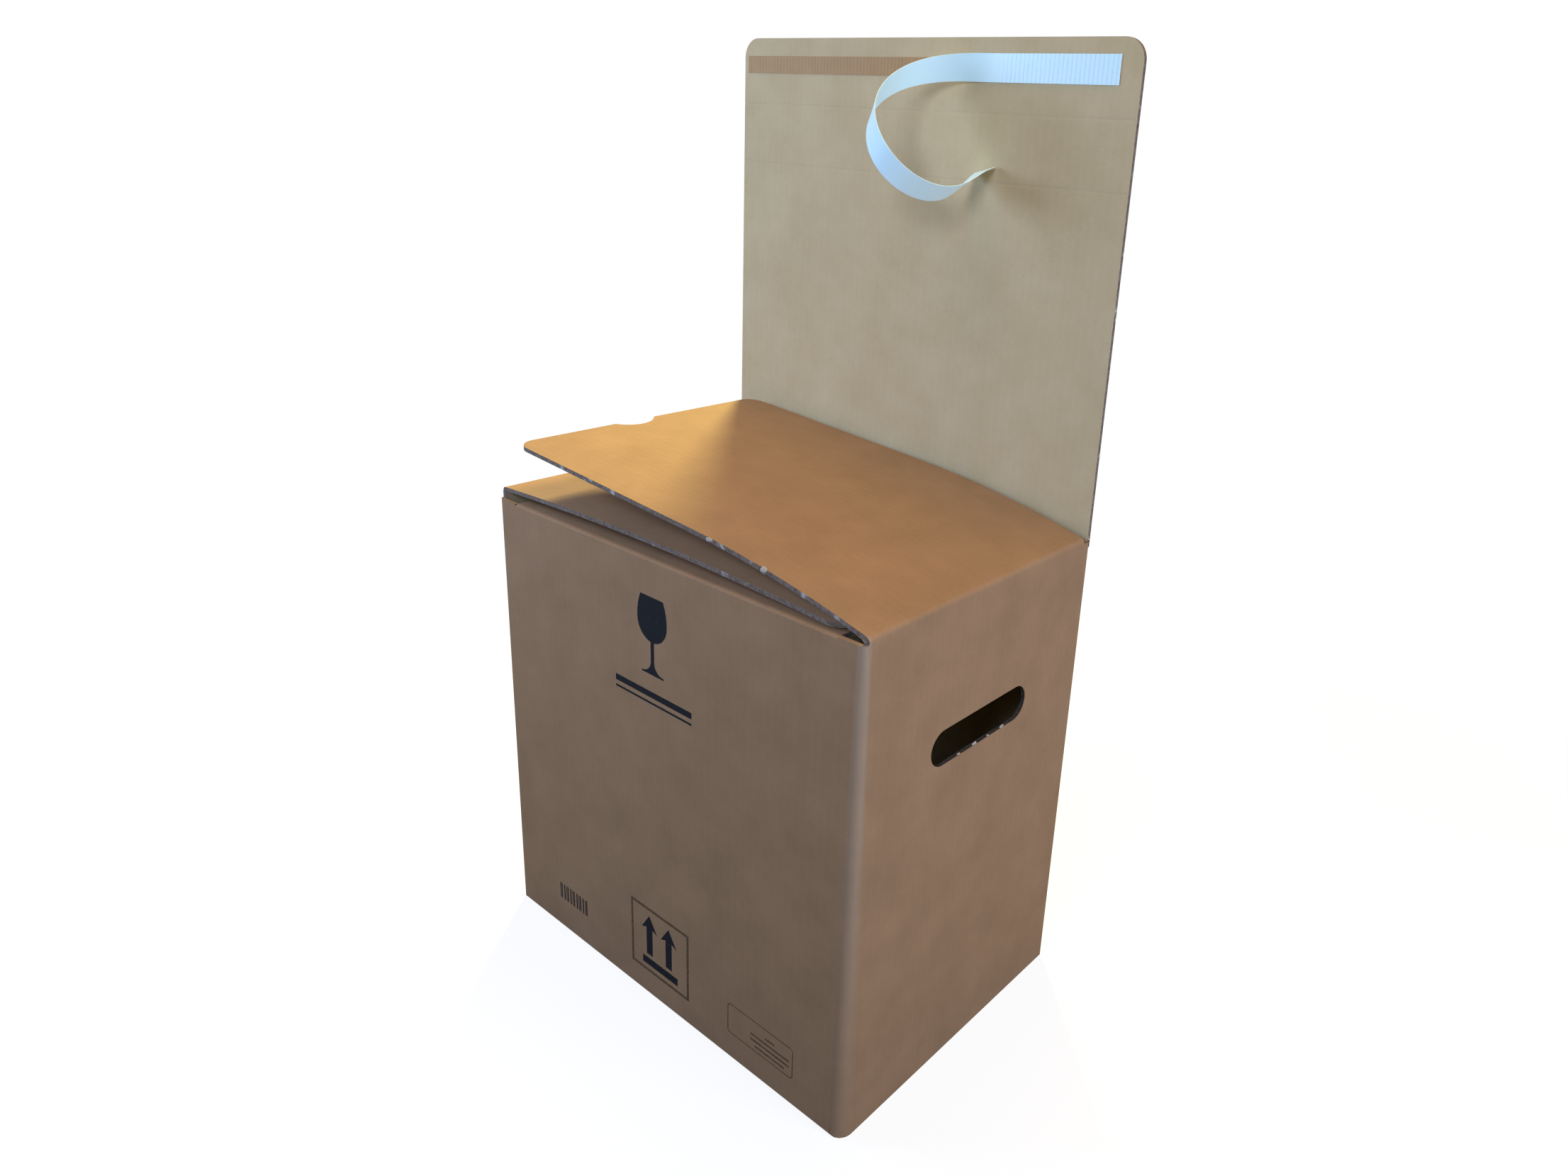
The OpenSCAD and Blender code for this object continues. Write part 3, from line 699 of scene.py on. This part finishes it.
class CARTON_OT_print(bpy.types.Operator):
    """Print the handling figures on the front"""

    bl_idname = "carton.print"
    bl_label = "Print"

    def execute(self, context):
        sizes, colours = context.scene.carton_sizes, context.scene.carton_colours
        dark = flexo_ink("dark_flexo_ink", colours.ink, colours.kraft_deep, 0.66)
        faint = flexo_ink("faint_flexo_ink", colours.faint_ink, colours.kraft_deep, 0.48)
        lift = sizes.ink_lift
        self.stamp("glass_figure", dark, lambda bm: ink_plate(bm, glass_outline(), lift))
        self.stamp("glass_rules", dark, lambda bm: self.rules(bm, lift))
        self.stamp("up_arrows", dark, lambda bm: self.arrows(bm, lift))
        self.stamp("arrow_frame", faint, lambda bm: self.border(bm, lift))
        self.stamp("bar_row", dark, lambda bm: self.bars(bm, lift))
        self.stamp("small_label", faint, lambda bm: self.label(bm, lift))
        return {"FINISHED"}

    def stamp(self, name, ink, draw):
        """Makes one printed piece that rides on the carton."""
        bm = bmesh.new()
        draw(bm)
        face_out(bm)
        piece = new_piece(name, bm, ink)
        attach(piece, "carton")

    def rules(self, bm, lift):
        """A broad and a slim rule under the glass."""
        left, wide = 131.5, 77.5
        for low, high in ((247.6, 4.6), (242.8, 1.6)):
            ink_plate(bm, box_points(left, low, wide, high), lift)

    def arrows(self, bm, lift):
        """Two arrows that stand on a bar."""
        for middle in (162.4, 183.5):
            ink_plate(bm, arrow_outline(middle), lift)
        bar_left, bar_low, bar_wide, bar_high = 154.5, 26.7, 38.5, 6.2
        ink_plate(bm, box_points(bar_left, bar_low, bar_wide, bar_high), lift)

    def border(self, bm, lift):
        """A square frame round the arrows."""
        left, low, wide, high, line = 142.0, 20.8, 63.0, 56.0, 2.2
        ink_frame(bm, left, low, wide, high, line, lift)

    def bars(self, bm, lift):
        """Upright bars of mixed widths that stand for nothing."""
        left, low, high, module = 53.0, 27.8, 13.8, 0.72
        for i in range(14):
            wide = module * (1 + i * i % 3)
            ink_plate(bm, box_points(left, low, wide, high), lift)
            left += wide + module * (1 + i * 5 % 3)

    def label(self, bm, lift):
        """A small frame with a few plain lines."""
        left, low, wide, high, line, corner = 245.0, 21.8, 62.0, 24.8, 0.8, 3.0
        ink_frame(bm, left, low, wide, high, line, lift, corner)
        middle, first, spacing, thick = 285.5, 38.0, 4.2, 1.5
        for i, length in enumerate((9, 36, 36, 28)):
            row = box_points(middle - length / 2, first - spacing * i, length, thick)
            ink_plate(bm, row, lift)


class CARTON_OT_glue(bpy.types.Operator):
    """Lay the ridged glue strip on the closure flap"""

    bl_idname = "carton.glue"
    bl_label = "Glue strip"

    def execute(self, context):
        sizes, colours = context.scene.carton_sizes, context.scene.carton_colours
        size = GLUE_HIGH - GLUE_LOW
        bm = bmesh.new()
        bmesh.ops.create_cube(bm, size=1.0)
        bmesh.ops.scale(bm, vec=size, verts=bm.verts)
        bmesh.ops.translate(bm, vec=(GLUE_LOW + GLUE_HIGH) / 2, verts=bm.verts)
        step, sink = sizes.flute_pitch / 8, 0.3 * size.y
        for i in range(1, int(size.x / step)):
            bmesh.ops.bisect_plane(
                bm, geom=bm.verts[:] + bm.edges[:] + bm.faces[:],
                plane_co=(GLUE_LOW.x + i * step, 0, 0), plane_no=(1, 0, 0))
        # The film sinks between the flutes on its free face
        for vert in bm.verts:
            if vert.co.y < GLUE_LOW.y + NEAR / 2:
                ridge = 0.5 - 0.5 * math.sin(4 * math.pi * vert.co.x / sizes.flute_pitch)
                vert.co.y += sink * ridge
        face_out(bm)
        soften(bm, 50)
        strip = new_piece("glue_film", bm, hot_melt(sizes, colours))
        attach(strip, "closure_flap")
        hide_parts("adhesive_strip")
        return {"FINISHED"}


# Bend and twist of the peeled liner, in degrees that its whole length would turn, against the share of it
LINER_BEND = [(0, 340), (0.17, 230), (0.33, 270), (0.5, 300), (0.67, 380), (0.83, 340), (1, -230)]
LINER_TWIST = [
    (0, 0), (0.06, -310), (0.12, -130), (0.2, -140), (0.33, -90),
    (0.5, -120), (0.67, 20), (0.83, 60), (1, 170)]
LINER_STEPS = 120


def between(table, at):
    """Value of a table of (share, value) pairs at a share."""
    for (a, one), (b, two) in zip(table, table[1:]):
        if at <= b:
            return one + (two - one) * (at - a) / (b - a)
    return table[-1][1]


class CARTON_OT_liner(bpy.types.Operator):
    """Peel the release liner off the glue strip in a loose curl"""

    bl_idname = "carton.liner"
    bl_label = "Release liner"

    def execute(self, context):
        sizes, colours = context.scene.carton_sizes, context.scene.carton_colours
        wide, thick = sizes.liner_width, sizes.liner_thick
        place = Vector((GLUE_HIGH.x, GLUE_LOW.y - thick / 2, (GLUE_LOW.z + GLUE_HIGH.z) / 2))
        bm = bmesh.new()
        length = bm.verts.layers.float.new("strip_length")
        bmesh.ops.create_grid(bm, x_segments=4, y_segments=1, size=0.5)
        lay = Matrix((
            (0, 0, -1, place.x), (0, thick, 0, place.y), (wide, 0, 0, place.z), (0, 0, 0, 1)))
        bmesh.ops.transform(bm, matrix=lay, verts=bm.verts)
        heading, across = Vector((-1, 0, 0)), Vector((0, 0, 1))
        run = 0.0
        stuck_steps = 16
        stretches = [(sizes.liner_stuck / stuck_steps, None)] * stuck_steps
        stretches += [(sizes.liner_curl / LINER_STEPS, (i + 0.5) / LINER_STEPS) for i in range(LINER_STEPS)]
        for step, share in stretches:
            ends = [f for f in bm.faces if all(v[length] >= run - NEAR for v in f.verts)]
            rim = {edge for face in ends for edge in face.edges}
            drawn = bmesh.ops.extrude_face_region(bm, geom=[*ends, *rim])["geom"]
            tip = [g for g in drawn if isinstance(g, bmesh.types.BMVert)]
            spin = Matrix.Identity(3)
            if share is not None:
                bend, twist = between(LINER_BEND, share), between(LINER_TWIST, share)
                turn = (bend * across + twist * heading) / LINER_STEPS
                spin = Matrix.Rotation(math.radians(turn.length), 3, turn.normalized())
            onward = (heading + spin @ heading) / 2 * step
            bmesh.ops.rotate(bm, cent=place, matrix=spin, verts=tip)
            bmesh.ops.translate(bm, vec=onward, verts=tip)
            place, heading, across = place + onward, spin @ heading, spin @ across
            run += step
            for vert in tip:
                vert[length] = run
        face_out(bm)
        soften(bm, 40)
        liner = new_piece("release_paper_strip", bm, release_paper(sizes, colours))
        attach(liner, "closure_flap")
        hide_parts("release_liner")
        return {"FINISHED"}


def pulp(colours):
    """Torn pulp of the board: pale, loose fibres without any shine."""
    material, tree, shader = new_material("torn_pulp", Roughness=1.0, Specular_IOR_Level=0.1)
    place = add(tree, "ShaderNodeTexCoord")
    fluff = add(tree, "ShaderNodeTexNoise", {
        "Vector": place.outputs["Object"], "Scale": 1 / (0.9 * MM), "Detail": 3.0, "Roughness": 0.7})
    tone = add(tree, "ShaderNodeMix", {
        0: fluff.outputs["Fac"], MIX_A: rgba(colours.edge), MIX_B: rgba(colours.edge_torn)},
        data_type="RGBA")
    tree.links.new(tone.outputs[MIX_OUT], shader.inputs["Base Color"])
    return material


class CARTON_OT_fray(bpy.types.Operator):
    """Add the torn bits on the raised flap's edge and in the right hand hole"""

    bl_idname = "carton.fray"
    bl_label = "Torn bits"

    def execute(self, context):
        fibres = pulp(context.scene.carton_colours)
        edge_y = FLAP_LOW.y
        self.tufts("flap_tufts", "side_flap", fibres, [
            (Vector((47.0 * MM, edge_y, 372.9 * MM)), Vector((3.2, 1.0, 1.3)) * MM),
            (Vector((93.7 * MM, edge_y, 367.3 * MM)), Vector((2.4, 1.7, 2.2)) * MM)])
        hole_x, hole_z = RIGHT - 0.8 * MM, 240.4 * MM
        self.tufts("hole_tufts", "carton", fibres, [
            (Vector((hole_x, -4 * MM, hole_z)), Vector((0.7, 2.6, 1.5)) * MM),
            (Vector((hole_x, 27 * MM, hole_z)), Vector((0.7, 2.3, 1.3)) * MM),
            (Vector((hole_x, -21 * MM, hole_z)), Vector((0.6, 1.6, 0.8)) * MM),
            (Vector((hole_x, 11 * MM, hole_z)), Vector((0.6, 1.5, 0.7)) * MM)])
        return {"FINISHED"}

    def tufts(self, name, body, material, spots):
        """Small lumps of fibre, each at a place and with its half sizes."""
        bm = bmesh.new()
        for place, half in spots:
            lump = bmesh.ops.create_icosphere(bm, subdivisions=3, radius=1.0)["verts"]
            for vert in lump:
                vert.co *= 1 + 0.35 * noise.noise(vert.co * 2.1 + place / MM)
            bmesh.ops.scale(bm, vec=half, verts=lump)
            bmesh.ops.translate(bm, vec=place, verts=lump)
        face_out(bm)
        soften(bm, 60)
        piece = new_piece(name, bm, material)
        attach(piece, body)


# Camera of the photographed view: degrees, metres, and millimetres of lens on a 36 mm sensor
VIEW_TURN, VIEW_RISE, VIEW_ROLL = math.radians(38.546), math.radians(18.666), math.radians(3.337)
VIEW_PLACE = Vector((0.518469, -0.531988, 0.610735))
VIEW_LENS, VIEW_SENSOR = 25.489, 36.0
VIEW_SHIFT = (-0.07069, -0.05271)


class CARTON_OT_stage(bpy.types.Operator):
    """Set up the pale floor, soft lamps and camera"""

    bl_idname = "carton.stage"
    bl_label = "Stage"

    def execute(self, context):
        scene = context.scene
        scene.view_settings.view_transform = "Standard"
        self.world(scene)
        self.floor(scene)
        # Places and widths of the lamps are in metres, their power in watts
        aim = Vector((0, 0, 0.33))
        self.lamp(scene, "warm_key", (-0.83, 0.94, 0.98), aim, 0.25, 41, (1.0, 0.81, 0.28))
        self.lamp(scene, "top_light", (0.05, 0.16, 1.45), aim, 0.8, 9.8, (1.0, 0.62, 0.1))
        self.lamp(scene, "front_window", (0.45, -1.10, 1.00), aim, 0.5, 9.2, (0.66, 0.75, 1.0))
        self.lamp(scene, "left_window", (-0.75, -0.60, 0.70), aim, 0.6, 8.8, (0.48, 0.64, 1.0))
        self.lamp(scene, "side_fill", (1.15, 0.10, 0.45), aim, 0.45, 9.5, (0.74, 0.79, 1.0))
        self.camera(scene)
        return {"FINISHED"}

    def world(self, scene):
        """Faint light all round, with a white background where it is seen or mirrored."""
        world = bpy.data.worlds.new("studio")
        world.use_nodes = True
        tree = world.node_tree
        tree.nodes.clear()
        path = add(tree, "ShaderNodeLightPath")
        camera, glossy = path.outputs["Is Camera Ray"], path.outputs["Is Glossy Ray"]
        shiny = add(tree, "ShaderNodeMath", {0: camera, 1: glossy}, operation="MAXIMUM")
        seen = add(tree, "ShaderNodeMath", {0: shiny.outputs[0], 1: path.outputs["Is Transmission Ray"]},
                   operation="MAXIMUM")
        soft = add(tree, "ShaderNodeBackground", {"Color": rgba(linear("#f2f4f8")), "Strength": 0.04})
        white = add(tree, "ShaderNodeBackground", {"Color": (1, 1, 1, 1), "Strength": 1.0})
        mixed = add(tree, "ShaderNodeMixShader", {
            0: seen.outputs[0], 1: soft.outputs[0], 2: white.outputs[0]})
        add(tree, "ShaderNodeOutputWorld", {"Surface": mixed.outputs[0]})
        scene.world = world

    def floor(self, scene):
        """Matt floor that looks nearly white and keeps the carton's shadow."""
        material, tree, shader = new_material("pale_floor", Roughness=0.9, Specular_IOR_Level=0.1)
        shader.inputs["Base Color"].default_value = rgba(linear("#6e6f70"))
        path = add(tree, "ShaderNodeLightPath")
        glow = add(tree, "ShaderNodeEmission", {"Color": (1, 1, 1, 1), "Strength": 0.86})
        lit = add(tree, "ShaderNodeAddShader", {0: shader.outputs[0], 1: glow.outputs[0]})
        # Away from the carton the floor turns into the white background
        place = add(tree, "ShaderNodeTexCoord")
        away = add(tree, "ShaderNodeVectorMath", {0: place.outputs["Object"]}, operation="LENGTH")
        far = add(tree, "ShaderNodeMapRange", {
            "Value": away.outputs["Value"], "From Min": 0.35, "From Max": 0.95},
            interpolation_type="SMOOTHSTEP")
        white = add(tree, "ShaderNodeEmission", {"Color": (1, 1, 1, 1), "Strength": 1.0})
        seen = add(tree, "ShaderNodeMixShader", {0: far.outputs[0], 1: lit.outputs[0], 2: white.outputs[0]})
        mixed = add(tree, "ShaderNodeMixShader", {
            0: path.outputs["Is Camera Ray"], 1: shader.outputs[0], 2: seen.outputs[0]})
        output = next(n for n in tree.nodes if n.type == "OUTPUT_MATERIAL")
        tree.links.new(mixed.outputs[0], output.inputs["Surface"])
        bm = bmesh.new()
        bmesh.ops.create_circle(bm, cap_ends=True, segments=64, radius=30.0)
        face_out(bm)
        floor = new_piece("floor", bm, material)

    def lamp(self, scene, name, place, aim, size, power, tint):
        """A round soft lamp."""
        data = bpy.data.lights.new(name, "AREA")
        data.shape = "DISK"
        data.size = size
        data.energy = power
        data.color = tint
        lamp = bpy.data.objects.new(name, data)
        lamp.location = place
        lamp.rotation_euler = (aim - Vector(place)).to_track_quat("-Z", "Y").to_euler()
        scene.collection.objects.link(lamp)

    def camera(self, scene):
        """The camera of the photographed view."""
        level = math.cos(VIEW_RISE)
        back = Vector((math.sin(VIEW_TURN) * level, -math.cos(VIEW_TURN) * level, math.sin(VIEW_RISE)))
        right = (-back).cross(Vector((0, 0, 1))).normalized()
        up = right.cross(-back)
        rolled = math.cos(VIEW_ROLL) * right + math.sin(VIEW_ROLL) * up
        upright = math.cos(VIEW_ROLL) * up - math.sin(VIEW_ROLL) * right
        data = bpy.data.cameras.new("photo_view")
        data.sensor_fit = "HORIZONTAL"
        data.sensor_width = VIEW_SENSOR
        data.lens = VIEW_LENS
        data.shift_x, data.shift_y = VIEW_SHIFT
        data.clip_start = 0.01
        camera = bpy.data.objects.new("photo_view", data)
        turned = Matrix((rolled, upright, back)).transposed().to_4x4()
        camera.matrix_world = Matrix.Translation(VIEW_PLACE) @ turned
        scene.collection.objects.link(camera)
        scene.camera = camera


OPERATORS = (
    CARTON_OT_stage, CARTON_OT_board, CARTON_OT_creases, CARTON_OT_print, CARTON_OT_glue, CARTON_OT_liner,
    CARTON_OT_fray)


class CARTON_PT_panel(bpy.types.Panel):
    """Lists the steps and the values that they read"""

    bl_label = "Carton"
    bl_space_type = "VIEW_3D"
    bl_region_type = "UI"
    bl_category = "Carton"

    def draw(self, context):
        for operator in OPERATORS:
            self.layout.operator(operator.bl_idname)
        for group in (context.scene.carton_sizes, context.scene.carton_colours):
            for name in group.bl_rna.properties.keys():
                if name not in ("rna_type", "name"):
                    self.layout.prop(group, name)


CLASSES = (CartonSizes, CartonColours, *OPERATORS, CARTON_PT_panel)


def register():
    for each in CLASSES:
        bpy.utils.register_class(each)
    bpy.types.Scene.carton_sizes = PointerProperty(type=CartonSizes)
    bpy.types.Scene.carton_colours = PointerProperty(type=CartonColours)


def unregister():
    del bpy.types.Scene.carton_colours
    del bpy.types.Scene.carton_sizes
    for each in reversed(CLASSES):
        bpy.utils.unregister_class(each)


def main():
    register()
    for name in [o.name for o in bpy.context.scene.objects if o.type in ("CAMERA", "LIGHT")]:
        bpy.data.objects.remove(bpy.data.objects[name])
    bpy.ops.carton.stage()
    bpy.ops.carton.board()
    bpy.ops.carton.creases()
    bpy.ops.carton.print()
    bpy.ops.carton.glue()
    bpy.ops.carton.liner()
    bpy.ops.carton.fray()


if __name__ == "__main__":
    main()
